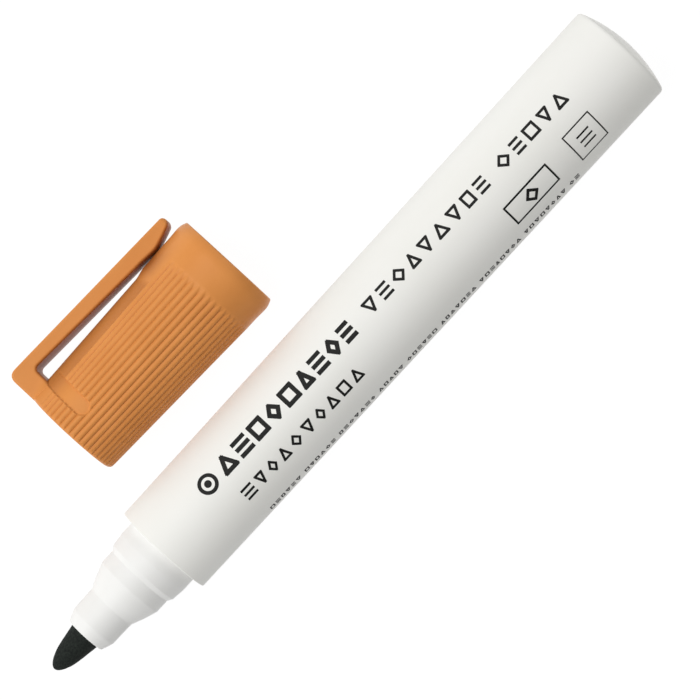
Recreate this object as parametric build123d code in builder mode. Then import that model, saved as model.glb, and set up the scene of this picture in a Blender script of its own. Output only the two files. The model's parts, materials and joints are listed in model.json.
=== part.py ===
from build123d import *
from math import cos, radians, sin, tan
import os

os.makedirs("parts", exist_ok=True)

# A whiteboard marker lying on its side, with its cap off and lying beside it.
# Origin: on the marker's axis, in the front face of the barrel.
# +X runs along the axis towards the nib, +Z is up, and the cap lies on the -Y side.
# All sizes are in millimetres.

# ---- Barrel: a tapered tube, closed at the rear by a shallow dome ----
BARREL_LENGTH = 104.4
BARREL_FRONT_R = 8.28
BARREL_REAR_R = 8.82
BARREL_DOME = 1.66
BARREL_REAR_EDGE = 0.6
BARREL_FRONT_EDGE = 0.15
BORE_R = 6.98
BORE_DRAFT = 0.08
RESERVOIR_RIB = (22.0, 0.3, 0.8)
RESERVOIR_RIBS = 6

# ---- Front section: stepped nose in front, plug behind. Points are (x, radius) ----
COLLAR_R = 6.47
COLLAR_LENGTH = 2.6
SHOULDER_END = (4.65, 6.34)
NECK_R = 5.74
NECK_START = (5.7, NECK_R + 0.03)
NECK_END = (7.75, NECK_R)
SHOULDER_MIDDLE = (9.9, 5.0)
NOSE_R = 4.13
NOSE_START = (11.9, NOSE_R)
NOSE_END = (16.0, NOSE_R - 0.07)
LIP_MIDDLE = (17.15, 3.8)
NOSE_LENGTH = 17.9
NOSE_LIP_R = 3.2
PLUG_LENGTH = 9.0
PLUG_R = BORE_R - 0.02
PLUG_LEAD_IN = (0.8, 0.5)
PLUG_BORE_R = 5.6
PLUG_BORE_LENGTH = 7.0
NOSE_BORE_START = (2.6, PLUG_BORE_R - 0.5)
NOSE_BORE_END = (4.0, 4.8)
NIB_TUBE_R = 3.7
NIB_TUBE_BACK = -5.0

# ---- Nib and ink store ----
NIB_R = 2.62
NIB_TIP_X = 25.0
NIB_CONE_END = (21.3, 2.08)
NIB_ROUND = (22.95, 1.53)
NIB_ROUND_END = (24.1, 0.92)
NIB_CONE_SLOPE = 0.18
NIB_TAIL_X = -21.0
NIB_TAIL_R = 1.7
NIB_TAIL_TAPER = 2.0
NIB_CLEARANCE = 0.04
RESERVOIR_R = 6.35
RESERVOIR_FRONT_X = -10.0
RESERVOIR_REAR_X = -99.0
FILM_THICKNESS = 0.15
FILM_GAP = 0.02

# ---- Cap: closed end towards +X, rolled so the clip hangs a little below the cap's axis ----
CAP_LENGTH = 36.08
CAP_CLOSED_X = -3.61
CAP_AXIS_Y = -22.73
CAP_AXIS_Z = 0.45
CAP_ROLL = 6.0
CAP_END_R = 8.20
CAP_SLOPE = tan(radians(1.75))
CAP_END_ROUND = 0.75
CAP_FLARE_LENGTH = 1.25
CAP_MOUTH_R = 8.77
CAP_END_WALL = 1.6
SEAT_R = 7.47
SEAT_DEPTH = 5.2
SEAT_STEP = 0.1
CAVITY_END_R = 6.9
# How far a cutting profile reaches past the surface it cuts, and a joining one under it.
CUT_MARGIN = 1.0
JOIN_MARGIN = 0.05

# ---- Ribs and smooth panel on the cap ----
RIB_SLOTS = 50
PANEL_SLOTS = 13
RIB_DEPTH = 0.28
PANEL_RECESS = 0.31
PANEL_RECESS_START = 0.12
RIB_END = 29.1
RIB_RUNOUT = 1.3
PANEL_END = 24.15
PANEL_RAMP = 2.3

# ---- Shallow groove that the clip's mould slide leaves round the clip's side of the cap ----
GROOVE_START = 3.22
GROOVE_WIDTH = 2.7
GROOVE_R = 7.97
GROOVE_RISE = 0.36
GROOVE_RISE_BACK = 2.0
GROOVE_END = 0.45

# ---- Clip: a bridge on the cap and a springy arm ----
CLIP_OUTER = 12.76
CLIP_OUTER_TIP = 12.03
CLIP_ROOT_INNER = 10.65
CLIP_LENGTH = 34.23
CLIP_TIP_THICKNESS = 1.6
CLIP_BUMP_DEPTH = 29.8
CLIP_BUMP_INNER = 9.34
CLIP_BUMP = 0.2
CLIP_BUMP_LENGTH = 4.0
CLIP_ROOT_WIDTH = 6.6
CLIP_TIP_WIDTH = 5.2
CLIP_EDGE = 0.45
BRIDGE_THICKNESS = 3.6
BRIDGE_ROOT = 2.0
BRIDGE_BACK = 0.0
BRIDGE_CORNER = 0.8
WINDOW_CORNER = 0.8
ARM_START = 4.6
HINGE_GAP = 0.05

# ---- Inner cap, which seals on the collar, the neck and the nose. Depths run inwards from the mouth ----
LINER_MOUTH = 0.8
LINER_R = SEAT_R - 0.02
LINER_WALL = 0.9
LINER_GRIP = 0.08
LINER_LEAD_IN = (1.2, 0.5)
LINER_COLLAR_END = COLLAR_LENGTH + 2.0
LINER_NECK_GAP = 0.16
LINER_NECK_START = 6.0
LINER_NECK_END = 7.9
LINER_NOSE_START = 12.4
LINER_NOSE_END = 15.8
LINER_NIB_START = (16.6, NOSE_R + 0.4)
LINER_NIB_END_R = NOSE_R + 0.2
LINER_OUTER_NECK_R = NECK_R + LINER_WALL + 0.2
LINER_OUTER_NECK_END = 8.2
LINER_OUTER_NOSE = (13.0, NOSE_R + LINER_WALL + 0.4)
LINER_END = 29.5


def cap_radius(depth):
    """Outer radius of the cap at a distance from its closed end."""
    return CAP_END_R + depth * CAP_SLOPE


# The cap's own plane: its normal runs from the closed end to the mouth, its X points at the clip.
roll = radians(CAP_ROLL)
cap_plane = Plane(
    origin=(CAP_CLOSED_X, CAP_AXIS_Y, CAP_AXIS_Z),
    x_dir=(0, -cos(roll), -sin(roll)),
    z_dir=(-1, 0, 0),
)
cap_axis = Axis(cap_plane.origin, cap_plane.z_dir)

# A plane through the cap's axis and the clip: its X is the depth from the closed end, its Y is outwards.
cap_section = Plane(
    origin=cap_plane.origin,
    x_dir=cap_plane.z_dir,
    z_dir=cap_plane.z_dir.cross(cap_plane.x_dir),
)


with BuildPart() as barrel:
    dome_r = (BARREL_REAR_R**2 + BARREL_DOME**2) / (2 * BARREL_DOME)
    with BuildSketch(Plane.XZ) as barrel_outline:
        with BuildLine():
            Polyline(
                (-BARREL_LENGTH, 0),
                (-BARREL_LENGTH, BORE_R - BORE_DRAFT),
                (-PLUG_LENGTH, BORE_R),
                (0, BORE_R),
                (0, BARREL_FRONT_R),
                (-BARREL_LENGTH, BARREL_REAR_R),
            )
            dome = RadiusArc((-BARREL_LENGTH, BARREL_REAR_R), (-BARREL_LENGTH - BARREL_DOME, 0), -dome_r)
            Line(dome @ 1, (-BARREL_LENGTH, 0))
        make_face()
        fillet(barrel_outline.vertices().sort_by(Axis.Y)[-1], BARREL_REAR_EDGE)
        front_corners = barrel_outline.vertices().group_by(Axis.X)[-1]
        chamfer(front_corners.sort_by(Axis.Y)[-1], BARREL_FRONT_EDGE)
    revolve(axis=Axis.X)
    # Low ribs at the back of the bore centre the ink reservoir and let air past it.
    rib_length, rib_height, rib_width = RESERVOIR_RIB
    with BuildSketch(Plane.YZ.offset(-BARREL_LENGTH)):
        with PolarLocations(BORE_R, RESERVOIR_RIBS):
            Rectangle(2 * rib_height, rib_width)
    extrude(amount=rib_length)
barrel.part.label = "barrel"
export_step(barrel.part, "parts/barrel.step")


with BuildPart() as front_section:
    nib_bore_r = NIB_R + NIB_CLEARANCE
    lead_in_length, lead_in_depth = PLUG_LEAD_IN
    with BuildSketch(Plane.XZ):
        with BuildLine():
            # Outside, from the back of the plug to the lip round the nib.
            Polyline(
                (-PLUG_LENGTH, PLUG_BORE_R),
                (-PLUG_LENGTH, PLUG_R - lead_in_depth),
                (-PLUG_LENGTH + lead_in_length, PLUG_R),
                (0, PLUG_R),
                (0, COLLAR_R),
                (COLLAR_LENGTH, COLLAR_R),
                SHOULDER_END,
                NECK_START,
                NECK_END,
            )
            ThreePointArc(NECK_END, SHOULDER_MIDDLE, NOSE_START)
            Line(NOSE_START, NOSE_END)
            ThreePointArc(NOSE_END, LIP_MIDDLE, (NOSE_LENGTH, NOSE_LIP_R))
            # Inside, from the lip back round the tube that holds the nib.
            Polyline(
                (NOSE_LENGTH, NOSE_LIP_R),
                (NOSE_LENGTH, nib_bore_r),
                (NIB_TUBE_BACK, nib_bore_r),
                (NIB_TUBE_BACK, NIB_TUBE_R),
                (NOSE_BORE_END[0], NIB_TUBE_R),
                NOSE_BORE_END,
                NOSE_BORE_START,
                (PLUG_BORE_LENGTH - PLUG_LENGTH, PLUG_BORE_R),
                (-PLUG_LENGTH, PLUG_BORE_R),
            )
        make_face()
    revolve(axis=Axis.X)
front_section.part.label = "front_section"
export_step(front_section.part, "parts/front_section.step")


with BuildPart() as nib:
    with BuildSketch(Plane.XZ):
        with BuildLine():
            Polyline(
                (NIB_TIP_X, 0),
                (NIB_TAIL_X, 0),
                (NIB_TAIL_X, NIB_TAIL_R),
                (NIB_TAIL_X + NIB_TAIL_TAPER, NIB_R),
                (NOSE_LENGTH, NIB_R),
                NIB_CONE_END,
            )
            Spline(
                NIB_CONE_END,
                NIB_ROUND,
                NIB_ROUND_END,
                (NIB_TIP_X, 0),
                tangents=[(1, -NIB_CONE_SLOPE), (0, -1)],
            )
        make_face()
    revolve(axis=Axis.X)
nib.part.label = "nib"
export_step(nib.part, "parts/nib.step")


with BuildPart() as ink_reservoir:
    with BuildSketch(Plane.YZ.offset(RESERVOIR_REAR_X)):
        Circle(RESERVOIR_R)
    extrude(amount=RESERVOIR_FRONT_X - RESERVOIR_REAR_X)
    with BuildSketch(Plane.YZ.offset(NIB_TAIL_X - NIB_CLEARANCE)):
        Circle(NIB_R + NIB_CLEARANCE)
    extrude(amount=RESERVOIR_FRONT_X - NIB_TAIL_X + CUT_MARGIN, mode=Mode.SUBTRACT)
ink_reservoir.part.label = "ink_reservoir"
export_step(ink_reservoir.part, "parts/ink_reservoir.step")


with BuildPart() as reservoir_film:
    film_bore_r = RESERVOIR_R + FILM_GAP
    with BuildSketch(Plane.YZ.offset(RESERVOIR_REAR_X)):
        Circle(film_bore_r + FILM_THICKNESS)
        Circle(film_bore_r, mode=Mode.SUBTRACT)
    extrude(amount=RESERVOIR_FRONT_X - RESERVOIR_REAR_X)
reservoir_film.part.label = "reservoir_film"
export_step(reservoir_film.part, "parts/reservoir_film.step")


def polar(radius, angle):
    """A point of the cap's cross-section, with the angle in degrees from the clip."""
    return (radius * cos(radians(angle)), radius * sin(radians(angle)))


def ribbed_outline(depth, panel_recess):
    """Cross-section of the ribbed stretch: round ribs, and a smooth panel centred on the clip."""
    pitch = 360 / RIB_SLOTS
    half_panel = pitch * PANEL_SLOTS / 2
    crest_r = cap_radius(depth)
    valley_r = crest_r - RIB_DEPTH
    panel_r = crest_r - panel_recess
    with BuildSketch(cap_plane.offset(depth)) as outline:
        with BuildLine():
            ThreePointArc(polar(panel_r, -half_panel), polar(panel_r, 0), polar(panel_r, half_panel))
            Line(polar(panel_r, half_panel), polar(valley_r, half_panel))
            for slot in range(RIB_SLOTS - PANEL_SLOTS):
                angle = half_panel + slot * pitch
                ThreePointArc(
                    polar(valley_r, angle),
                    polar(crest_r, angle + pitch / 2),
                    polar(valley_r, angle + pitch),
                )
            Line(polar(valley_r, -half_panel), polar(panel_r, -half_panel))
        make_face()
    return outline.sketch


def clip_outer(depth):
    """Distance from the cap's axis to the outside of the clip."""
    return CLIP_OUTER + (CLIP_OUTER_TIP - CLIP_OUTER) * depth / CLIP_LENGTH


def clip_inner(depth):
    """Distance from the cap's axis to the straight stretch of the clip's inside."""
    slope = (CLIP_BUMP_INNER + CLIP_BUMP - CLIP_ROOT_INNER) / (CLIP_BUMP_DEPTH - CLIP_BUMP_LENGTH)
    return CLIP_ROOT_INNER + slope * depth


def side_edges(part, open_end):
    """The outline edges of a clip piece's two side faces, without the one where the piece is split."""
    sides = part.faces().sort_by(Axis(cap_plane.origin, cap_section.z_dir))
    outline = sides[0].edges() + sides[-1].edges()
    groups = outline.group_by(cap_axis)
    return [edge for group in groups for edge in group if group is not groups[open_end]]


# The bridge that joins the clip to the closed end of the cap, with the first stub of the arm.
with BuildPart() as bridge:
    with BuildSketch(cap_section) as bridge_side:
        with BuildLine():
            Polyline(
                (BRIDGE_BACK, CAP_END_R - BRIDGE_ROOT),
                (BRIDGE_BACK, clip_outer(BRIDGE_BACK)),
                (ARM_START, clip_outer(ARM_START)),
                (ARM_START, clip_inner(ARM_START)),
                (BRIDGE_THICKNESS, clip_inner(BRIDGE_THICKNESS)),
                (BRIDGE_THICKNESS, CAP_END_R - BRIDGE_ROOT),
                close=True,
            )
        make_face()
        corners = bridge_side.vertices().sort_by(Axis.X)
        outer_corner = corners[:2].sort_by(Axis.Y)[-1]
        window_corner = corners[2:4].sort_by(Axis.Y)[-1]
        fillet(outer_corner, BRIDGE_CORNER)
        fillet(window_corner, WINDOW_CORNER)
    extrude(amount=CLIP_ROOT_WIDTH / 2, both=True)
    fillet(side_edges(bridge, -1), CLIP_EDGE)


with BuildPart() as cap_shell:
    # Ribbed stretch, from the closed end to the start of the flare. The panel sinks as it nears the mouth.
    run_out = RIB_END + RIB_RUNOUT
    add(ribbed_outline(0, PANEL_RECESS_START))
    add(ribbed_outline(run_out, PANEL_RECESS * run_out / PANEL_END))
    loft(ruled=True)
    # Smooth stretch at the mouth. Its sloping start gives the grooves between the ribs their pointed ends.
    flare_depth = CAP_LENGTH - CAP_FLARE_LENGTH
    with BuildSketch(cap_section):
        with BuildLine():
            Polyline(
                (RIB_END, 0),
                (RIB_END, cap_radius(RIB_END) - RIB_DEPTH - JOIN_MARGIN),
                (run_out, cap_radius(run_out)),
                (flare_depth, cap_radius(flare_depth)),
                (CAP_LENGTH, CAP_MOUTH_R),
                (CAP_LENGTH, 0),
                close=True,
            )
        make_face()
    revolve(axis=cap_axis)
    # The smooth stretch starts earlier across the panel, where a short slope ends the recess.
    half_panel = 180 * PANEL_SLOTS / RIB_SLOTS
    with BuildSketch(cap_section.rotated((half_panel, 0, 0))):
        with BuildLine():
            Polyline(
                (PANEL_END, 0),
                (PANEL_END, cap_radius(PANEL_END) - PANEL_RECESS - JOIN_MARGIN),
                (PANEL_END + PANEL_RAMP, cap_radius(PANEL_END + PANEL_RAMP)),
                (run_out, cap_radius(run_out)),
                (run_out, 0),
                close=True,
            )
        make_face()
    revolve(axis=cap_axis, revolution_arc=2 * half_panel)
    # Rounding of the closed end, cut across the ends of the ribs.
    round_start = (0, CAP_END_R - CAP_END_ROUND)
    round_end = (CAP_END_ROUND, cap_radius(CAP_END_ROUND))
    with BuildSketch(cap_section):
        with BuildLine():
            Polyline(
                round_start,
                (-CUT_MARGIN, CAP_END_R - CAP_END_ROUND),
                (-CUT_MARGIN, CAP_END_R + CUT_MARGIN),
                (CAP_END_ROUND, CAP_END_R + CUT_MARGIN),
                round_end,
            )
            RadiusArc(round_end, round_start, CAP_END_ROUND + JOIN_MARGIN)
        make_face()
    revolve(axis=cap_axis, mode=Mode.SUBTRACT)
    # Shallow groove round the clip's side, with a half-round end on each side of the cap.
    with BuildSketch(cap_plane.offset(GROOVE_START)):
        with Locations((GROOVE_END, 0)):
            Rectangle(CLIP_OUTER, 2 * CLIP_OUTER, align=(Align.MIN, Align.CENTER))
        Circle(GROOVE_R, mode=Mode.SUBTRACT)
        # Under the clip the floor rises to meet the smooth panel.
        with Locations((GROOVE_RISE + GROOVE_RISE_BACK, 0)):
            Circle(GROOVE_R - GROOVE_RISE_BACK, mode=Mode.SUBTRACT)
    extrude(amount=GROOVE_WIDTH, mode=Mode.SUBTRACT)
    for side in (-1, 1):
        with BuildSketch(cap_section.offset(side * GROOVE_R)):
            with Locations((GROOVE_START + GROOVE_WIDTH / 2, GROOVE_END)):
                Circle(GROOVE_WIDTH / 2)
        extrude(amount=side * CUT_MARGIN, mode=Mode.SUBTRACT)
    add(bridge.part)
    # Inside: a straight seat for the inner cap at the mouth, then a tapering cavity.
    with BuildSketch(cap_section):
        with BuildLine():
            Polyline(
                (CAP_END_WALL, 0),
                (CAP_END_WALL, CAVITY_END_R),
                (CAP_LENGTH - SEAT_DEPTH, SEAT_R - SEAT_STEP),
                (CAP_LENGTH - SEAT_DEPTH, SEAT_R),
                (CAP_LENGTH, SEAT_R),
                (CAP_LENGTH, 0),
                close=True,
            )
        make_face()
    revolve(axis=cap_axis, mode=Mode.SUBTRACT)
cap_shell.part.label = "cap_shell"
export_step(cap_shell.part, "parts/cap_shell.step")


with BuildPart() as cap_clip:
    # Side view of the arm: straight outside, a low bump inside that grips, and a round tip.
    arm_end = ARM_START + HINGE_GAP
    tip_start = CLIP_LENGTH - CLIP_TIP_THICKNESS / 2
    bump_start = CLIP_BUMP_DEPTH - CLIP_BUMP_LENGTH
    tip_outer = clip_outer(tip_start)
    with BuildSketch(cap_section):
        with BuildLine():
            Polyline(
                (bump_start, clip_inner(bump_start)),
                (arm_end, clip_inner(arm_end)),
                (arm_end, clip_outer(arm_end)),
                (tip_start, tip_outer),
            )
            ThreePointArc(
                (tip_start, tip_outer),
                (CLIP_LENGTH, tip_outer - CLIP_TIP_THICKNESS / 2),
                (tip_start, tip_outer - CLIP_TIP_THICKNESS),
            )
            Spline(
                (tip_start, tip_outer - CLIP_TIP_THICKNESS),
                (CLIP_BUMP_DEPTH, CLIP_BUMP_INNER),
                (bump_start, clip_inner(bump_start)),
                tangents=[(-1, 0), (-1, 0.04)],
            )
        make_face()
    extrude(amount=CLIP_ROOT_WIDTH / 2, both=True)
    # Front view: the arm narrows towards its tip.
    with BuildSketch(Plane(cap_plane.origin, x_dir=cap_plane.z_dir, z_dir=cap_plane.x_dir)):
        with BuildLine():
            Polyline(
                (0, -CLIP_ROOT_WIDTH / 2),
                (CLIP_LENGTH, -CLIP_TIP_WIDTH / 2),
                (CLIP_LENGTH, CLIP_TIP_WIDTH / 2),
                (0, CLIP_ROOT_WIDTH / 2),
                close=True,
            )
        make_face()
    extrude(amount=2 * CLIP_OUTER, mode=Mode.INTERSECT)
    fillet(side_edges(cap_clip, 0), CLIP_EDGE)
cap_clip.part.label = "cap_clip"
export_step(cap_clip.part, "parts/cap_clip.step")


with BuildPart() as cap_liner:
    # Distances here run inwards from the mouth of the cap.
    liner_plane = Plane(
        origin=cap_plane.origin + cap_plane.z_dir * CAP_LENGTH,
        x_dir=-cap_plane.z_dir,
        z_dir=-cap_section.z_dir,
    )
    lead_in_length, lead_in_depth = LINER_LEAD_IN
    with BuildSketch(liner_plane):
        with BuildLine():
            Polyline(
                (LINER_MOUTH, LINER_R),
                (LINER_MOUTH, COLLAR_R + lead_in_depth),
                (LINER_MOUTH + lead_in_length, COLLAR_R + LINER_GRIP),
                (LINER_COLLAR_END, COLLAR_R + LINER_GRIP),
                (LINER_NECK_START, NECK_R + LINER_NECK_GAP),
                (LINER_NECK_END, NECK_R + LINER_NECK_GAP),
                (LINER_NOSE_START, NOSE_R + LINER_GRIP),
                (LINER_NOSE_END, NOSE_R + LINER_GRIP),
                LINER_NIB_START,
                (LINER_END - LINER_WALL, LINER_NIB_END_R),
                (LINER_END - LINER_WALL, 0),
                (LINER_END, 0),
                (LINER_END, NOSE_R + LINER_WALL),
                LINER_OUTER_NOSE,
                (LINER_OUTER_NECK_END, LINER_OUTER_NECK_R),
                (SEAT_DEPTH, LINER_OUTER_NECK_R),
                (SEAT_DEPTH, LINER_R),
                close=True,
            )
        make_face()
    revolve(axis=cap_axis)
cap_liner.part.label = "cap_liner"
export_step(cap_liner.part, "parts/cap_liner.step")
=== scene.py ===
import json
import math
import random

import bmesh
import bpy
import numpy as np
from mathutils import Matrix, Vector, geometry, noise


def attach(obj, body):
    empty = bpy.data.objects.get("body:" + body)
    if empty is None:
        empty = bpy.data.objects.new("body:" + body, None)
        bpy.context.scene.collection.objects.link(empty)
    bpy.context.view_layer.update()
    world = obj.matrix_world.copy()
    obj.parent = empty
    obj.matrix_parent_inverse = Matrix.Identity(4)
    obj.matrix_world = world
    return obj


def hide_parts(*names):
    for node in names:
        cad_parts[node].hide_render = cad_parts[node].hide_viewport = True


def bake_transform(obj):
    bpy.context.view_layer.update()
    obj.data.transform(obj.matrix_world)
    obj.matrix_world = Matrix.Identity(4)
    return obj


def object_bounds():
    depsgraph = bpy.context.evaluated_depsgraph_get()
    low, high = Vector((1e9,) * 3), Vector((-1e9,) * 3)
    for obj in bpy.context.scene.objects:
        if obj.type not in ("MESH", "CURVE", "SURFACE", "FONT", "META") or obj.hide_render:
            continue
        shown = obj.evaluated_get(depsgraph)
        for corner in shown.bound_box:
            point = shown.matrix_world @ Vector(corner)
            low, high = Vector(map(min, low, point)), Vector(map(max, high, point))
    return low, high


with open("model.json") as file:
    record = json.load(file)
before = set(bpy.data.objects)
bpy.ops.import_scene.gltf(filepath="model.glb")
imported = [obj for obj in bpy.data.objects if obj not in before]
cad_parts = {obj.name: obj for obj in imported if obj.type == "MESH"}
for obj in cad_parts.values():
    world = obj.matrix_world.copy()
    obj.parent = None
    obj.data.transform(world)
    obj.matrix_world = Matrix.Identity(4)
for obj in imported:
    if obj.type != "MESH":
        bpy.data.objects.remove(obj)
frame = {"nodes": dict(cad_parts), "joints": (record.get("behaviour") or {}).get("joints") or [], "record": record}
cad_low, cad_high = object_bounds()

# A whiteboard marker with its cap off and lying beside it. The marker's axis is X, with the nib at +X,
# and the cap lies on the -Y side with its closed end towards +X. Lengths below are millimetres times MM.
MM = 0.001
nodes = frame["nodes"]
mounts = {mount["name"]: mount for mount in frame["record"]["mounts"]}
joints = {joint["name"]: joint for joint in frame["joints"]}

# The cap's own frame: depth runs from its closed end to its mouth, out points at the clip, and side is
# square to both.
cap_origin = np.array(mounts["cap_end"]["pos_m"])
cap_depth = -np.array(mounts["cap_end"]["axis"])
cap_side = np.array(joints["clip_flex"]["axis"])
cap_out = np.cross(cap_side, cap_depth)


# ---- Meshes ----
SHARP_ANGLE = math.radians(38)


def shell_of(rings, loop=False):
    """Points and faces of a closed skin through equal rings. It joins up with itself, or ends in two fans."""
    rings = np.asarray(rings, float)
    count, around = rings.shape[:2]
    points = rings.reshape(-1, 3)
    index = np.arange(count * around).reshape(count, around)
    here = index if loop else index[:-1]
    beyond = np.roll(index, -1, axis=0) if loop else index[1:]
    quads = np.stack([here, np.roll(here, -1, axis=1), np.roll(beyond, -1, axis=1), beyond], axis=-1)
    faces = quads.reshape(-1, 4).tolist()
    if not loop:
        for end, ring in enumerate((index[0], index[-1][::-1])):
            centre = len(points) + end
            faces += [(centre, int(b), int(a)) for a, b in zip(ring, np.roll(ring, -1))]
        points = np.vstack([points, rings[0].mean(axis=0), rings[-1].mean(axis=0)])
    return points, faces


def make_piece(name, shells, material, shade=None):
    """One object made of closed skins, shaded smooth with sharp edges kept. Shade is painted shade: it darkens the
    colour at the ring points.
    """
    points = []
    faces = []
    for shell_points, shell_faces in shells:
        first = len(points)
        points += [tuple(point) for point in shell_points]
        faces += [[first + corner for corner in face] for face in shell_faces]
    mesh = bpy.data.meshes.new(name)
    mesh.from_pydata(points, [], faces)
    work = bmesh.new()
    work.from_mesh(mesh)
    bmesh.ops.recalc_face_normals(work, faces=work.faces)
    work.to_mesh(mesh)
    work.free()
    mesh.shade_smooth()
    mesh.set_sharp_from_angle(angle=SHARP_ANGLE)
    mesh.materials.append(material)
    if shade is not None:
        values = np.zeros(len(points), np.float32)
        values[:np.size(shade)] = np.ravel(shade)
        mesh.attributes.new("shade", "FLOAT", "POINT").data.foreach_set("value", values)
    piece = bpy.data.objects.new(name, mesh)
    bpy.context.scene.collection.objects.link(piece)
    return piece


def smooth_step(value):
    value = np.clip(value, 0, 1)
    return value * value * (3 - 2 * value)


def rounded_path(corners, steps=6):
    """A line through (x, radius, rounding) corners, with each inner corner rounded off."""
    path = [corners[0][:2]]
    for before, corner, after in zip(corners, corners[1:], corners[2:]):
        point = Vector(corner[:2])
        back = Vector(before[:2]) - point
        ahead = Vector(after[:2]) - point
        if corner[2] == 0:
            path.append(tuple(point))
            continue
        start = point + back.normalized() * min(corner[2], back.length / 2)
        end = point + ahead.normalized() * min(corner[2], ahead.length / 2)
        for step in range(steps + 1):
            t = step / steps
            path.append(tuple(start.lerp(point, t).lerp(point.lerp(end, t), t)))
    path.append(corners[-1][:2])
    return path


def lathe(path, columns):
    """Rings round the marker's axis, one for each (x, radius) in millimetres."""
    turn = np.arange(columns) * 2 * math.pi / columns
    return [
        np.stack([np.full(columns, x), radius * np.sin(turn), radius * np.cos(turn)], axis=1) * MM
        for x, radius in path
    ]


def in_cap(depth, out, side):
    """Row-frame points from the cap's own depth, out and side, which are arrays in millimetres."""
    depth, out, side = np.broadcast_arrays(depth, out, side)
    parts = depth[..., None] * cap_depth + out[..., None] * cap_out + side[..., None] * cap_side
    return cap_origin + parts * MM


# ---- Materials: sizes of patches and grain are in millimetres ----
PATCH_DETAIL = 4
PATCH_BAND = (0.35, 0.65)
GRAIN_DETAIL = 3
GRAIN_BAND = (0.3, 0.7)


def textured(name, light, dark, patch, rough, rough_spread, grain, grain_depth,
             stretch=(1, 1, 1), specular=0.5, recess=(1, 1, 1)):
    """Two colours in broad patches, painted shade where the shade attribute darkens the colour towards the recess
    colour, and a fine grain in the gloss and the relief.
    """
    material = bpy.data.materials.new(name)
    material.use_nodes = True
    tree = material.node_tree
    shader = tree.nodes["Principled BSDF"]
    place = tree.nodes.new("ShaderNodeTexCoord")
    mapping = tree.nodes.new("ShaderNodeMapping")
    mapping.inputs["Scale"].default_value = stretch
    patches = tree.nodes.new("ShaderNodeTexNoise")
    patches.inputs["Scale"].default_value = 1 / (patch * MM)
    patches.inputs["Detail"].default_value = PATCH_DETAIL
    mix = tree.nodes.new("ShaderNodeMix")
    mix.data_type = "RGBA"
    mix.inputs["A"].default_value = (*dark, 1)
    mix.inputs["B"].default_value = (*light, 1)
    # Painted shade: the shade point attribute mixes the colour towards the recess colour by multiplying.
    shade = tree.nodes.new("ShaderNodeAttribute")
    shade.attribute_name = "shade"
    darker = tree.nodes.new("ShaderNodeMix")
    darker.data_type = "RGBA"
    darker.blend_type = "MULTIPLY"
    darker.inputs["B"].default_value = (*recess, 1)
    fine = tree.nodes.new("ShaderNodeTexNoise")
    fine.inputs["Scale"].default_value = 1 / (grain * MM)
    fine.inputs["Detail"].default_value = GRAIN_DETAIL
    gloss = tree.nodes.new("ShaderNodeMapRange")
    gloss.inputs["From Min"].default_value = GRAIN_BAND[0]
    gloss.inputs["From Max"].default_value = GRAIN_BAND[1]
    gloss.inputs["To Min"].default_value = rough - rough_spread
    gloss.inputs["To Max"].default_value = rough + rough_spread
    relief = tree.nodes.new("ShaderNodeBump")
    relief.inputs["Strength"].default_value = 1
    relief.inputs["Distance"].default_value = grain_depth * MM
    spread = tree.nodes.new("ShaderNodeMapRange")
    spread.inputs["From Min"].default_value = PATCH_BAND[0]
    spread.inputs["From Max"].default_value = PATCH_BAND[1]
    links = tree.links
    links.new(place.outputs["Object"], mapping.inputs["Vector"])
    links.new(mapping.outputs["Vector"], patches.inputs["Vector"])
    links.new(mapping.outputs["Vector"], fine.inputs["Vector"])
    links.new(patches.outputs["Fac"], spread.inputs["Value"])
    links.new(spread.outputs["Result"], mix.inputs["Factor"])
    links.new(mix.outputs["Result"], darker.inputs["A"])
    links.new(shade.outputs["Fac"], darker.inputs["Factor"])
    links.new(darker.outputs["Result"], shader.inputs["Base Color"])
    links.new(fine.outputs["Fac"], gloss.inputs["Value"])
    links.new(gloss.outputs["Result"], shader.inputs["Roughness"])
    links.new(fine.outputs["Fac"], relief.inputs["Height"])
    links.new(relief.outputs["Normal"], shader.inputs["Normal"])
    shader.inputs["Specular IOR Level"].default_value = specular
    return material


barrel_plastic = textured("barrel_plastic", (0.835, 0.83, 0.795), (0.815, 0.81, 0.77), 9, 0.50, 0.05, 0.25,
                          0.0012, stretch=(0.5, 1, 1), specular=0.15)
section_plastic = textured("section_plastic", (0.80, 0.797, 0.778), (0.785, 0.782, 0.762), 6, 0.39, 0.04, 0.3,
                           0.0006, specular=0.25)
nib_felt = textured("nib_felt", (0.016, 0.021, 0.017), (0.006, 0.008, 0.007), 0.24, 0.85, 0.1, 0.09, 0.02,
                    stretch=(0.65, 1, 1), specular=0.22)
fibre_core = textured("fibre_core", (0.10, 0.10, 0.11), (0.015, 0.015, 0.018), 3.0, 0.8, 0.1, 0.12, 0.03,
                      stretch=(0.1, 1, 1), specular=0.3)
clear_film = textured("clear_film", (0.80, 0.83, 0.84), (0.72, 0.75, 0.77), 5, 0.18, 0.06, 1.2, 0.02)
# The cap's recess colour is the tint of its painted shade.
cap_plastic = textured("cap_plastic", (0.695, 0.275, 0.074), (0.665, 0.256, 0.066), 5, 0.40, 0.05, 0.22,
                       0.0015, stretch=(0.6, 1, 1), specular=0.12, recess=(0.50, 0.40, 0.34))
liner_plastic = textured("liner_plastic", (0.78, 0.78, 0.745), (0.74, 0.74, 0.70), 4, 0.46, 0.06, 0.35, 0.002)
print_ink = textured("print_ink", (0.010, 0.010, 0.009), (0.006, 0.006, 0.0055), 0.8, 0.55, 0.07, 0.12, 0.001,
                     specular=0.22)

for name, material in {
    "ink_reservoir": fibre_core,
    "reservoir_film": clear_film,
    "cap_liner": liner_plastic,
}.items():
    nodes[name].data.materials.clear()
    nodes[name].data.materials.append(material)


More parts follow.
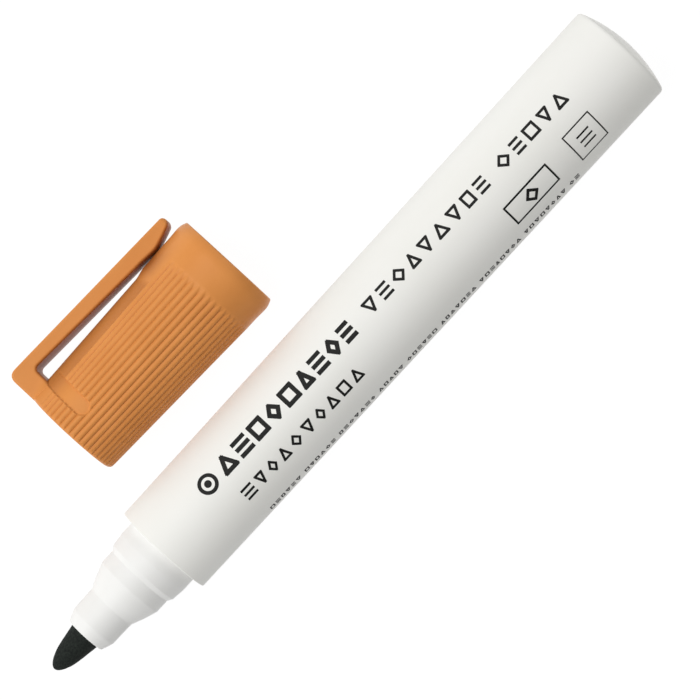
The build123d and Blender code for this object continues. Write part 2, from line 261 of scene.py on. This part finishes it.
# ---- Barrel: a tapered tube with a shallow dome on its rear end ----
BARREL_FRONT_R = 8.28
BARREL_REAR_R = 8.82
BARREL_LENGTH = 104.4
BARREL_DOME = 1.66
BARREL_COLUMNS = 192
BARREL_REAR_EDGE = 0.62
BARREL_FRONT_EDGE = 0.16
BORE_R = 6.98
BORE_END_R = 6.90
DOME_ROWS = 14
DOME_POLE_R = 0.2


def add_barrel():
    dome_r = (BARREL_REAR_R**2 + BARREL_DOME**2) / (2 * BARREL_DOME)
    spread = math.asin(BARREL_REAR_R / dome_r)
    turns = [spread * row / DOME_ROWS for row in range(DOME_ROWS)]
    top = -BARREL_LENGTH - BARREL_DOME
    dome = [(top + dome_r * (1 - math.cos(turn)), dome_r * math.sin(turn), 0) for turn in turns]
    dome[0] = (top, DOME_POLE_R, 0)
    tube = [(-BARREL_LENGTH, BARREL_REAR_R, BARREL_REAR_EDGE), (0, BARREL_FRONT_R, BARREL_FRONT_EDGE),
            (0, BORE_R, 0.1), (-BARREL_LENGTH, BORE_END_R, 0), (-BARREL_LENGTH, 0.5, 0)]
    piece = make_piece("barrel_visual", [shell_of(lathe(rounded_path(dome + tube), BARREL_COLUMNS))],
                       barrel_plastic)
    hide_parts("barrel")
    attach(piece, "barrel")


# ---- Front section: a glossy stepped nose with softly rounded edges, and its plug and nib tube inside ----
NIB_R = 2.62
SECTION_COLUMNS = 160
SECTION_BACK = [(-9.0, 5.6, 0), (-9.0, 6.46, 0.1), (-8.2, 6.96, 0.1), (-0.01, 6.96, 0), (-0.01, 6.47, 0)]
SECTION_COLLAR = [(2.45, 6.47, 0.1), (4.65, 6.24, 0.1), (5.45, 5.74, 0.1), (7.75, 5.74, 0.1)]
SECTION_CONE = [(8.65, 5.44, 0.4), (9.9, 4.99, 0.5), (11.9, 4.13, 0.2)]
SECTION_LIP = [(16.05, 4.06, 0.2), (17.9, 3.36, 0.14)]
SECTION_BORE = [(17.9, NIB_R + 0.04, 0.08), (-5.0, NIB_R + 0.04, 0), (-5.0, 3.7, 0), (4.0, 3.7, 0.2)]
SECTION_INSIDE = [(4.0, 4.8, 0.2), (2.6, 5.1, 0.2), (-2.0, 5.6, 0), (-9.0, 5.6, 0)]


def add_front_section():
    corners = SECTION_BACK + SECTION_COLLAR + SECTION_CONE + SECTION_LIP + SECTION_BORE + SECTION_INSIDE
    path = rounded_path(corners)[:-1]
    piece = make_piece("front_section_visual", [shell_of(lathe(path, SECTION_COLUMNS), loop=True)],
                       section_plastic)
    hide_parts("front_section")
    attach(piece, "barrel")


# ---- Nib: pressed felt, with fibres that run along it ----
NIB_COLUMNS = 120
NIB_TAIL = [(-21.0, 0.4), (-21.0, 1.7), (-19.0, NIB_R), (17.0, NIB_R)]
NIB_CONE_START = (17.9, NIB_R)
NIB_CONE_END = (21.3, 2.08)
NIB_HANDLES = ((22.85, 1.83), (25.0, 1.04))
NIB_TIP = (25.0, 0.0)
NIB_CONE_ROWS = 26
NIB_TIP_ROWS = 44
FIBRE_DEPTH = 0.05
FIBRE_LENGTH = 2.2
FIBRE_WIDTH = 0.16


def add_nib():
    cone = [tuple(np.array(NIB_CONE_START) + (np.array(NIB_CONE_END) - NIB_CONE_START) * row / NIB_CONE_ROWS)
            for row in range(NIB_CONE_ROWS)]
    corners = [Vector((x, radius, 0)) for x, radius in (NIB_CONE_END, *NIB_HANDLES, NIB_TIP)]
    tip = [tuple(point[:2]) for point in geometry.interpolate_bezier(*corners, NIB_TIP_ROWS)][:-1]
    rings = lathe(NIB_TAIL + cone + tip, NIB_COLUMNS)
    for ring in rings[len(NIB_TAIL):]:
        for point in ring:
            radius = math.hypot(point[1], point[2])
            spot = Vector((point[0] / FIBRE_LENGTH, point[1] / FIBRE_WIDTH, point[2] / FIBRE_WIDTH)) / MM
            sunk = FIBRE_DEPTH * MM * (0.5 + 0.5 * noise.noise(spot)) * min(1, radius / (0.6 * MM))
            point[1:] *= 1 - sunk / radius
    piece = make_piece("nib_visual", [shell_of(rings)], nib_felt)
    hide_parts("nib")
    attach(piece, "barrel")


# ---- Cap: ribs, a smooth panel under the clip, a groove and a flared mouth ----
CAP_LENGTH = 36.08
CAP_END_R = 8.20
CAP_SLOPE = math.tan(math.radians(1.75))
CAP_END_ROUND = 0.75
FLARE_START = 30.4
FLARE_END = 34.83
FLARE_HOLLOW = 0.05
MOUTH_BLEND = 1.9
MOUTH_R = 8.77
SEAT_R = 7.47
SEAT_END = 30.88
CAVITY_R = 7.37
CAVITY_END_R = 6.9
CAP_END_WALL = 1.6
RIB_SLOTS = 50
PANEL_SLOTS = 13
RIB_SAMPLES = 12
RIB_SHAPE = 2.0
RIB_DEPTH = 0.23
# Painted shade in the rib valleys.
RIB_SHADE = 0.24
RIB_SHADE_CURVE = 1.5
RIB_END = 29.1
RIB_RUNOUT = 1.3
PANEL_SAMPLES = 70
PANEL_EDGE = math.radians(0.35)
PANEL_RECESS = 0.31
PANEL_RECESS_START = 0.12
PANEL_END = 24.15
PANEL_RAMP = 2.3
# Painted shade on the panel, and painted shadow under the clip's bump.
PANEL_SHADE = 0.5
BUMP_SHADE_DEPTH = 27.6
BUMP_SHADE_LENGTH = 5.2
BUMP_SHADE_FROM = math.radians(21)
BUMP_SHADE_FADE = math.radians(33)
GROOVE_START = 3.22
GROOVE_WIDTH = 2.7
GROOVE_R = 7.97
GROOVE_RISE = 2.36
GROOVE_RISE_R = 5.97
GROOVE_END = 0.45
GROOVE_WALL = 0.12
# Painted shade in the groove near the clip.
GROOVE_SHADE_FROM = math.radians(36)
GROOVE_SHADE_FADE = math.radians(32)


def cap_radius(depth):
    """Radius over the crests of the ribs. The smooth stretch at the mouth is slightly hollow."""
    along = np.clip((depth - FLARE_START) / (FLARE_END - FLARE_START), 0, 1)
    return CAP_END_R + depth * CAP_SLOPE - FLARE_HOLLOW * np.sin(math.pi * along)


def cap_columns():
    """Angles round the cap from the clip, the drop of each rib flank, and which are on or by the panel."""
    pitch = 2 * math.pi / RIB_SLOTS
    half_panel = pitch * PANEL_SLOTS / 2
    ribs = RIB_SLOTS - PANEL_SLOTS
    phase = np.linspace(-1, 1, RIB_SAMPLES, endpoint=False)
    rib_angles = half_panel + pitch * (np.arange(ribs)[:, None] + (phase + 1) / 2).ravel()
    rib_drops = np.tile(RIB_DEPTH * np.abs(phase) ** RIB_SHAPE, ribs)
    panel_angles = np.linspace(PANEL_EDGE - half_panel, half_panel - PANEL_EDGE, PANEL_SAMPLES)
    angles = np.concatenate([panel_angles, rib_angles, [2 * math.pi - half_panel]])
    drops = np.concatenate([np.zeros(PANEL_SAMPLES), rib_drops, [RIB_DEPTH]])
    from_clip = np.abs((angles + math.pi) % (2 * math.pi) - math.pi)
    return angles, drops, np.arange(len(angles)) < PANEL_SAMPLES, from_clip < half_panel + pitch / 2


def cap_surface(depth, angles, drops, on_panel, by_panel):
    """Outer radius and painted shade at one depth, for every column."""
    crest = cap_radius(depth)
    run_out = RIB_DEPTH * (1 - np.clip((depth - RIB_END) / RIB_RUNOUT, 0, 1))
    recess = PANEL_RECESS_START + (PANEL_RECESS - PANEL_RECESS_START) * min(depth / PANEL_END, 1)
    recess *= 1 - smooth_step((depth - PANEL_END) / PANEL_RAMP)
    drops = np.where(by_panel, np.minimum(drops, recess), drops)
    radius = crest - np.where(on_panel, recess, np.minimum(drops, run_out))
    # The groove: how far each point is inside its outline decides how far it drops to the floor.
    out = radius * np.cos(angles)
    beside = depth - GROOVE_START - GROOVE_WIDTH / 2
    gap = np.hypot(beside, np.minimum(out - GROOVE_END, 0)) - GROOVE_WIDTH / 2
    rise = GROOVE_RISE * np.cos(angles)
    rise += np.sqrt(np.maximum(GROOVE_RISE_R**2 - (GROOVE_RISE * np.sin(angles)) ** 2, 0))
    floor = np.minimum(np.maximum(GROOVE_R, rise), radius)
    sunk = smooth_step(0.5 - gap / (2 * GROOVE_WALL))
    radius += (floor - radius) * sunk
    if depth < CAP_END_ROUND:
        edge = CAP_END_R - CAP_END_ROUND + math.sqrt(CAP_END_ROUND**2 - (CAP_END_ROUND - depth) ** 2)
        radius = np.minimum(radius, edge)
    # Painted shade: the colour is darkened a little in the rib valleys, more on the panel and in the groove, and
    # most under the clip's bump, where shadow falls.
    from_clip = np.abs((angles + math.pi) % (2 * math.pi) - math.pi)
    panel = PANEL_SHADE * on_panel * (depth > GROOVE_START)
    panel = panel * (1 - smooth_step((depth - PANEL_END) / PANEL_RAMP))
    shade = np.maximum(panel, RIB_SHADE * (np.minimum(drops, run_out) / RIB_DEPTH) ** RIB_SHADE_CURVE)
    in_groove = PANEL_SHADE * (1 - smooth_step((from_clip - GROOVE_SHADE_FROM) / GROOVE_SHADE_FADE))
    shade += (in_groove - shade) * sunk
    under_bump = 1 - smooth_step(abs(depth - BUMP_SHADE_DEPTH) / BUMP_SHADE_LENGTH)
    under_bump = under_bump * (1 - smooth_step((from_clip - BUMP_SHADE_FROM) / BUMP_SHADE_FADE))
    return radius, np.maximum(shade, under_bump)


def add_cap_shell():
    angles, drops, on_panel, by_panel = cap_columns()
    around = len(angles)
    turned = np.linspace(0, math.pi / 2, 9)
    groove_back = GROOVE_START + GROOVE_WIDTH + 0.25
    depths = np.concatenate([
        CAP_END_ROUND * (1 - np.cos(turned)),
        np.linspace(1.1, GROOVE_START - 0.3, 5),
        np.arange(GROOVE_START - 0.2, groove_back, 0.09),
        np.linspace(groove_back + 0.2, PANEL_END - 0.1, 15),
        np.linspace(PANEL_END, PANEL_END + PANEL_RAMP, 14),
        np.linspace(PANEL_END + PANEL_RAMP + 0.4, RIB_END - 0.15, 4),
        np.linspace(RIB_END, FLARE_START, 13),
        np.linspace(FLARE_START + 0.3, FLARE_END - MOUTH_BLEND - 0.1, 9),
    ])
    plain = np.zeros(around)
    rows = [(0.0, plain + radius, plain) for radius in (0.5, 3.5, 6.5)]
    rows += [(depth, *cap_surface(depth, angles, drops, on_panel, by_panel)) for depth in depths]
    mouth = rounded_path([
        (FLARE_END - MOUTH_BLEND, cap_radius(FLARE_END - MOUTH_BLEND)),
        (FLARE_END, cap_radius(FLARE_END), MOUTH_BLEND / 2),
        (CAP_LENGTH, MOUTH_R, 0.22),
        (CAP_LENGTH, SEAT_R, 0.12),
        (SEAT_END, SEAT_R, 0),
        (SEAT_END, CAVITY_R, 0),
        (CAP_END_WALL, CAVITY_END_R, 0.6),
        (CAP_END_WALL, 0.5),
    ])
    rows += [(depth, plain + radius, plain) for depth, radius in mouth]
    rings = [in_cap(depth, radius * np.cos(angles), radius * np.sin(angles)) for depth, radius, _ in rows]
    # The painted shade of each ring.
    shade = [row[2] for row in rows]
    piece = make_piece("cap_shell_visual", [shell_of(rings)], cap_plastic, shade)
    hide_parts("cap_shell")
    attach(piece, "cap")


# ---- Clip: a bridge that rises from the cap, and one springy arm that runs on from the bridge ----
CLIP_OUTER = 12.76
CLIP_OUTER_TIP = 12.03
CLIP_LENGTH = 34.23
CLIP_ROOT_INNER = 10.65
BUMP_START = 25.8
BUMP_DEPTH = 29.8
BUMP_INNER = 9.34
TIP_INNER = 10.6
CLIP_HALF_WIDTH = 3.3
CLIP_TIP_HALF_WIDTH = 2.6
CLIP_EDGE = 0.42
CLIP_TIP_ROUND = 0.68
CLIP_DRAFT = 0.2
BRIDGE_FRONT = 3.6
BRIDGE_BACK = 0.0
BRIDGE_CORNER = 1.5
WINDOW_CORNER = 0.8
BRIDGE_ROOT_R = 7.72
FILLET = 0.8
ARM_START = 4.6
BEND_LENGTH = 9.0
CORNER_STEPS = 5
FACE_STEPS = 8
SIDE_STEPS = 2
EDGE_HOLD = 0.04
ARM_RINGS = 64
# Painted shade: the whole clip a little darker, and its inner face much darker.
CLIP_SHADE = 0.1
INNER_SHADE = 0.75
INNER_SHADE_HEIGHT = 0.22


def clip_outline(half_width, thickness, edge, draft):
    """A rounded rectangle as (side, height) points. Its inner face swells to a parting line in the middle."""
    points = []
    for side, up, first, straight in ((1, -1, -90, SIDE_STEPS), (1, 1, 0, FACE_STEPS),
                                      (-1, 1, 90, SIDE_STEPS), (-1, -1, 180, FACE_STEPS)):
        centre = np.array([side * (half_width - edge), thickness / 2 + up * (thickness / 2 - edge)])
        for step in range(CORNER_STEPS + 1):
            angle = math.radians(first + 90 * step / CORNER_STEPS)
            points.append(centre + edge * np.array([math.cos(angle), math.sin(angle)]))
        reach = 2 * (thickness / 2 - edge) if straight == SIDE_STEPS else 2 * (half_width - edge)
        heading = math.radians(first + 180)
        start = points[-1]
        ahead = np.array([math.cos(heading), math.sin(heading)]) * reach
        for share in np.linspace(EDGE_HOLD, 1 - EDGE_HOLD, straight):
            points.append(start + ahead * share)
    outline = np.array(points)
    inner = np.clip(1 - 2 * outline[:, 1] / thickness, 0, 1)
    outline[:, 1] -= draft * inner * (1 - np.abs(outline[:, 0]) / half_width)
    return outline


def clip_inner(depth):
    straight = CLIP_ROOT_INNER + (BUMP_INNER + 0.2 - CLIP_ROOT_INNER) * depth / BUMP_START
    if depth < BUMP_START:
        return straight
    if depth < BUMP_DEPTH:
        start = BUMP_INNER + 0.2
        return start + (BUMP_INNER - start) * smooth_step((depth - BUMP_START) / (BUMP_DEPTH - BUMP_START))
    return BUMP_INNER + (TIP_INNER - BUMP_INNER) * ((depth - BUMP_DEPTH) / (CLIP_LENGTH - BUMP_DEPTH)) ** 1.2


def clip_outer(depth):
    return CLIP_OUTER + (CLIP_OUTER_TIP - CLIP_OUTER) * depth / CLIP_LENGTH


def clip_ring(inner, outer, half_width, edge=CLIP_EDGE, draft=CLIP_DRAFT):
    """A ring between an inner and an outer (depth, out) point, as depth, out and side arrays."""
    inner = np.array(inner, float)
    reach = np.array(outer, float) - inner
    thickness = np.hypot(*reach)
    outline = clip_outline(half_width, thickness, min(edge, 0.48 * thickness), draft)
    spots = inner + outline[:, 1:] * reach / thickness
    return spots[:, 0], spots[:, 1], outline[:, 0]


def bridge_rings():
    """Rings up the bridge, from inside the cap's wall to the window's corner, with a fillet at the foot."""
    top = clip_inner(BRIDGE_FRONT + WINDOW_CORNER) - WINDOW_CORNER
    foot = CAP_END_R - PANEL_RECESS_START
    levels = np.concatenate([[BRIDGE_ROOT_R], foot + FILLET * (1 - np.cos(np.linspace(0, math.pi / 2, 9))),
                             np.linspace(foot + FILLET + 0.2, top, 4)])
    rings = []
    for level in levels:
        depth, _, side = clip_ring((BRIDGE_FRONT, level), (BRIDGE_BACK, level), CLIP_HALF_WIDTH)
        height = min(max((level - foot) / FILLET, 0), 1)
        flare = FILLET * (1 - math.sqrt(1 - (1 - height) ** 2))
        spread = smooth_step((depth - BRIDGE_BACK) / 1.2) * smooth_step((BRIDGE_FRONT - depth) / 0.6)
        side = side * (1 + flare * spread / CLIP_HALF_WIDTH)
        curved = 1 - smooth_step((level - BRIDGE_ROOT_R) / (top - BRIDGE_ROOT_R))
        sag = CAP_END_R - np.sqrt(CAP_END_R**2 - side**2)
        rings.append(in_cap(depth, level - curved * sag, side))
    return rings


def corner_rings():
    """Rings round the window's corner, while the outside goes round the bridge's back corner."""
    across = BRIDGE_FRONT + WINDOW_CORNER
    centre = np.array([across, clip_inner(across) - WINDOW_CORNER])
    corner = (BRIDGE_BACK, clip_outer(0), BRIDGE_CORNER)
    back = [(BRIDGE_BACK, centre[1]), corner, (across, clip_outer(across))]
    path = np.array(rounded_path(back, 12))
    travelled = np.concatenate([[0], np.cumsum(np.hypot(*np.diff(path, axis=0).T))])
    rings = []
    for share in np.linspace(0, 1, 17)[1:]:
        angle = math.radians(180 - 90 * share)
        inner = centre + WINDOW_CORNER * np.array([math.cos(angle), math.sin(angle)])
        outer = [np.interp(share * travelled[-1], travelled, path[:, axis]) for axis in (0, 1)]
        rings.append(in_cap(*clip_ring(inner, outer, CLIP_HALF_WIDTH)))
    return rings


def arm_rings():
    first = BRIDGE_FRONT + WINDOW_CORNER + 0.3
    straight = [(depth, 0.0) for depth in np.linspace(first, CLIP_LENGTH - CLIP_TIP_ROUND, ARM_RINGS)]
    rounding = [(CLIP_LENGTH - CLIP_TIP_ROUND * (1 - math.sin(turn)), CLIP_TIP_ROUND * (1 - math.cos(turn)))
                for turn in np.linspace(0, math.pi / 2, 7)[1:]]
    rings = []
    for depth, inset in straight + rounding:
        along = (depth - first) / (CLIP_LENGTH - first)
        half_width = CLIP_HALF_WIDTH + (CLIP_TIP_HALF_WIDTH - CLIP_HALF_WIDTH) * along - inset
        inner = (depth, clip_inner(depth) + inset)
        outer = (depth, clip_outer(depth) - inset)
        rings.append(in_cap(*clip_ring(inner, outer, half_width)))
    return rings


def add_clip():
    rings = bridge_rings() + corner_rings() + arm_rings()
    # Painted shade: darker all over, and most on the inner face, where the slot under the clip gets little light.
    height = clip_outline(1.0, 1.0, CLIP_EDGE * 0.5, 0.0)[:, 1]
    shade = CLIP_SHADE + INNER_SHADE * smooth_step(1 - height / INNER_SHADE_HEIGHT)
    shades = np.tile(shade, len(rings))
    piece = make_piece("clip_visual", [shell_of(rings)], cap_plastic, shades)
    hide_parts("cap_clip")
    start, end = in_cap(np.array([ARM_START, ARM_START + BEND_LENGTH]), CLIP_OUTER, 0.0)
    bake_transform(piece)


# ---- Print on the barrel: rows of plain marks that stand in for lettering, and three plain signs ----
INK_PROUD = 0.018
INK_SUNK = 0.02
STROKE_STEP = 0.35
STROKE_PAST_CORNER = 0.4
CIRCLE_STEPS = 40
MARK_KINDS = ("block", "diamond", "wedge", "drop", "stack")
NO_WORDS = 99
WORD_GAP = 0.8
PRINT_SEED = 7
TARGET_PLACE = (12.5, -12.4)
TARGET_RADII = (1.38, 0.3)
TARGET_PEN = 0.6
PLATE_PLACE = (78.5, 33.5)
PLATE_CORNERS = ((-4.6, -1.9), (4.6, -1.9), (4.6, 1.9), (-4.6, 1.9))
PLATE_PEN = 0.32
BOX_PLACE = (90.6, 34.3)
BOX_CORNERS = ((-2.8, -2.8), (2.8, -2.8), (2.8, 2.8), (-2.8, 2.8))
BOX_PEN = 0.22
SIGN_MARK_WIDTH = 2.6


def on_barrel(along, across, lift):
    """Row-frame points on the barrel: along runs from its front, and across is an arc length from the top."""
    radius = BARREL_FRONT_R + (BARREL_REAR_R - BARREL_FRONT_R) * along / BARREL_LENGTH
    turn = across / radius
    return np.stack([-along, (radius + lift) * np.sin(turn), (radius + lift) * np.cos(turn)], axis=-1) * MM


def stroke(line, width, loop=False):
    """A thin inked band along a line of (along, across) points."""
    line = np.asarray(line, float)
    before = np.roll(line, 1, axis=0) if loop else np.vstack([line[:1], line[:-1]])
    after = np.roll(line, -1, axis=0) if loop else np.vstack([line[1:], line[-1:]])
    heading = after - before
    heading /= np.hypot(heading[:, 0], heading[:, 1])[:, None]
    offset = np.stack([-heading[:, 1], heading[:, 0]], axis=1) * width / 2
    raised = [(side, INK_PROUD) for side in (-1, 0, 1)]
    buried = [(side, -INK_SUNK) for side in (1, 0)]
    corners = [(-1, -INK_SUNK)] + raised + buried
    rings = [on_barrel(*(line + side * offset).T, lift) for side, lift in corners]
    return shell_of(np.stack(rings, axis=1), loop)


def bar(start, end, width):
    length = math.dist(start, end)
    count = max(2, int(length / STROKE_STEP) + 1)
    return stroke(np.linspace(start, end, count), width)


def circle(centre, radius, width):
    turn = np.arange(CIRCLE_STEPS) * 2 * math.pi / CIRCLE_STEPS
    line = np.stack([centre[0] + radius * np.cos(turn), centre[1] + radius * np.sin(turn)], axis=1)
    return stroke(line, width, loop=True)


def outline_of(corners, width):
    """Bars between corners, each one long enough to fill the corners it meets."""
    bars = []
    for start, end in zip(corners, corners[1:] + corners[:1]):
        start, end = np.array(start), np.array(end)
        past = (end - start) / np.hypot(*(end - start)) * width * STROKE_PAST_CORNER
        bars.append(bar(start - past, end + past, width))
    return bars


def mark(kind, along, across, width, height, pen):
    """One plain mark that stands where a letter would."""
    middle = along + width / 2
    half_along, half_across = (width - pen) / 2, (height - pen) / 2
    near, far = middle - half_along, middle + half_along
    top, foot = across - half_across, across + half_across
    corners = {
        "block": [(near, top), (far, top), (far, foot), (near, foot)],
        "diamond": [(near, across), (middle, top), (far, across), (middle, foot)],
        "wedge": [(near, foot), (middle, top), (far, foot)],
        "drop": [(near, top), (far, top), (middle, foot)],
    }
    if kind in corners:
        return outline_of(corners[kind], pen)
    return [bar((near - pen / 2, y), (far + pen / 2, y), pen) for y in (top, across, foot)]


def row_of_marks(rng, start, end, across, width, height, pen, gap, word=None):
    """Marks from start to end along the barrel, with word gaps after every few of them."""
    shells = []
    along = start
    left = word or NO_WORDS
    last = None
    while True:
        kind = rng.choice([k for k in MARK_KINDS if k != last])
        wide = width * rng.uniform(0.85, 1.1)
        if along + wide > end:
            return shells
        shells += mark(kind, along, across, wide, height, pen)
        along += wide + gap
        last = kind
        left -= 1
        if left == 0:
            along += width * WORD_GAP
            left = rng.randint(max(2, word - 2), word + 3)


def arc(degrees, along):
    """Arc length from the top of the barrel to an angle, at a distance from its front."""
    return math.radians(degrees) * (BARREL_FRONT_R + (BARREL_REAR_R - BARREL_FRONT_R) * along / BARREL_LENGTH)


def add_print():
    rng = random.Random(PRINT_SEED)
    bold = row_of_marks(rng, 15.3, 45.9, arc(-13, 30), 2.75, 3.1, 0.72, 0.72)
    thin = row_of_marks(rng, 14.9, 41.8, arc(25.5, 28), 1.95, 2.2, 0.40, 0.85)
    title = row_of_marks(rng, 48.2, 93.9, arc(-13, 70), 2.3, 2.4, 0.45, 0.9, word=9)
    small = row_of_marks(rng, 16.0, 86.6, arc(69, 50), 0.85, 1.2, 0.24, 0.34, word=6)
    target = (TARGET_PLACE[0], arc(TARGET_PLACE[1], TARGET_PLACE[0]))
    signs = [circle(target, radius, TARGET_PEN) for radius in TARGET_RADII]
    plate = (PLATE_PLACE[0], arc(PLATE_PLACE[1], PLATE_PLACE[0]))
    signs += outline_of([(plate[0] + x, plate[1] + y) for x, y in PLATE_CORNERS], PLATE_PEN)
    signs += mark("diamond", plate[0] - SIGN_MARK_WIDTH / 2, plate[1], SIGN_MARK_WIDTH, 2.6, 0.5)
    box = (BOX_PLACE[0], arc(BOX_PLACE[1], BOX_PLACE[0]))
    signs += outline_of([(box[0] + x, box[1] + y) for x, y in BOX_CORNERS], BOX_PEN)
    signs += mark("stack", box[0] - SIGN_MARK_WIDTH / 2, box[1], SIGN_MARK_WIDTH, 2.4, 0.3)
    inked = {"print_rows": bold + thin + title, "print_small": small, "print_signs": signs}
    for name, shells in inked.items():
        piece = make_piece(name, shells, print_ink)
        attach(piece, "barrel")


# ---- Camera: straight above the marker, turned so that the nib points to the lower left ----
CAMERA_HEIGHT = 602.8 * MM
CAMERA_X = -42.2 * MM
CAMERA_Y = 0.35 * MM
CAMERA_TURN = math.radians(132.54)
CAMERA_LENS = 200.6
CAMERA_SENSOR = 36.0


def add_camera():
    data = bpy.data.cameras.new("camera")
    data.lens = CAMERA_LENS
    data.sensor_width = CAMERA_SENSOR
    camera = bpy.data.objects.new("camera", data)
    camera.location = (CAMERA_X, CAMERA_Y, CAMERA_HEIGHT)
    camera.rotation_euler = (0, 0, CAMERA_TURN)
    bpy.context.scene.collection.objects.link(camera)
    bpy.context.scene.camera = camera


# ---- Light: a big soft box towards the nib, a weak one towards the rear end, and a white surround ----
KEY_FROM = Vector((0.50, -0.38, 0.80))
KEY_SIZE = 1.0
KEY_POWER = 9.5
FILL_FROM = Vector((-0.82, -0.12, 0.52))
FILL_SIZE = 0.8
FILL_POWER = 2.0
LIGHT_DISTANCE = 0.9
SKY_STRENGTH = 0.21
SKY_COLOUR = (1.0, 1.0, 1.0, 1.0)


def add_soft_box(name, towards, size, power):
    data = bpy.data.lights.new(name, "AREA")
    data.shape = "SQUARE"
    data.size = size
    data.energy = power
    light = bpy.data.objects.new(name, data)
    light.location = (cad_low + cad_high) / 2 + towards.normalized() * LIGHT_DISTANCE
    light.rotation_euler = towards.to_track_quat("Z", "Y").to_euler()
    bpy.context.scene.collection.objects.link(light)


def add_lights():
    add_soft_box("key", KEY_FROM, KEY_SIZE, KEY_POWER)
    add_soft_box("fill", FILL_FROM, FILL_SIZE, FILL_POWER)
    world = bpy.data.worlds.new("surround")
    world.use_nodes = True
    background = world.node_tree.nodes["Background"]
    background.inputs["Color"].default_value = SKY_COLOUR
    background.inputs["Strength"].default_value = SKY_STRENGTH
    bpy.context.scene.world = world
    bpy.context.scene.view_settings.view_transform = "Standard"


# ---- Floor: a white light table, so that the shadows wash out ----
FLOOR_HALF = 3.0
FLOOR_COLOUR = (0.09, 0.09, 0.09, 1.0)
FLOOR_GLOW = 0.95
FLOOR_ROUGHNESS = 0.9
FLOOR_LIGHT = (1.0, 1.0, 1.0, 1.0)


def add_floor():
    mesh = bpy.data.meshes.new("floor")
    z = cad_low.z
    corners = [(-FLOOR_HALF, -FLOOR_HALF, z), (FLOOR_HALF, -FLOOR_HALF, z)]
    corners += [(FLOOR_HALF, FLOOR_HALF, z), (-FLOOR_HALF, FLOOR_HALF, z)]
    mesh.from_pydata(corners, [], [(0, 1, 2, 3)])
    floor = bpy.data.objects.new("floor", mesh)
    bpy.context.scene.collection.objects.link(floor)
    material = bpy.data.materials.new("floor")
    material.use_nodes = True
    shader = material.node_tree.nodes["Principled BSDF"]
    shader.inputs["Base Color"].default_value = FLOOR_COLOUR
    shader.inputs["Roughness"].default_value = FLOOR_ROUGHNESS
    shader.inputs["Specular IOR Level"].default_value = 0.0
    shader.inputs["Emission Color"].default_value = FLOOR_LIGHT
    shader.inputs["Emission Strength"].default_value = FLOOR_GLOW
    mesh.materials.append(material)


add_barrel()
add_front_section()
add_nib()
add_cap_shell()
add_clip()
add_print()
add_camera()
add_lights()
add_floor()
